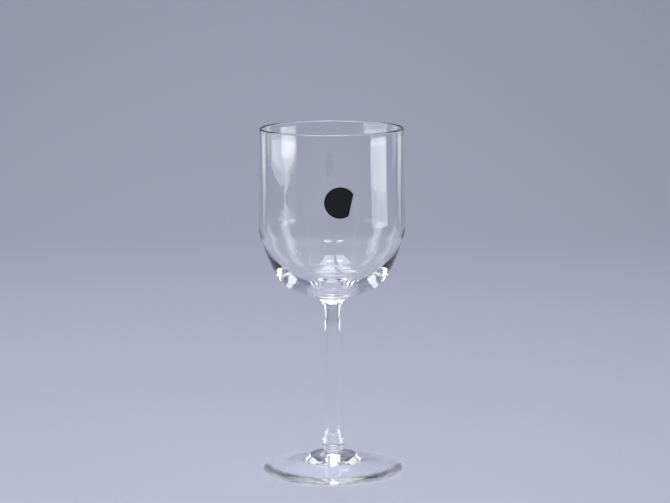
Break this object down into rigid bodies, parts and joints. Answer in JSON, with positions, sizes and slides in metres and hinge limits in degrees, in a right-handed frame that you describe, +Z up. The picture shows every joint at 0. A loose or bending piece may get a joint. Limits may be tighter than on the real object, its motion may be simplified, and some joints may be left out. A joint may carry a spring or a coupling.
{
  "type": "wine glass",
  "caption": "Stemmed dessert wine glass: a clear bowl with a soft shoulder and round bottom, a plain stem, a flat round foot and a small foil label.",
  "frame": {"origin": "middle of the foot's underside, on the table", "axes": "+Z up along the stem to the rim, -Y towards the label on the front of the bowl, +X to its right"},
  "size_m": [0.0672, 0.0672, 0.16],
  "materials": {
    "clear_glass": "fire-polished clear glass",
    "label_foil": "black foil sticker with a fine silver edge"
  },
  "bodies": {
    "root": {"foot": "clear_glass", "stem": "clear_glass", "bowl": "clear_glass", "label": "label_foil"}
  },
  "joints": []
}
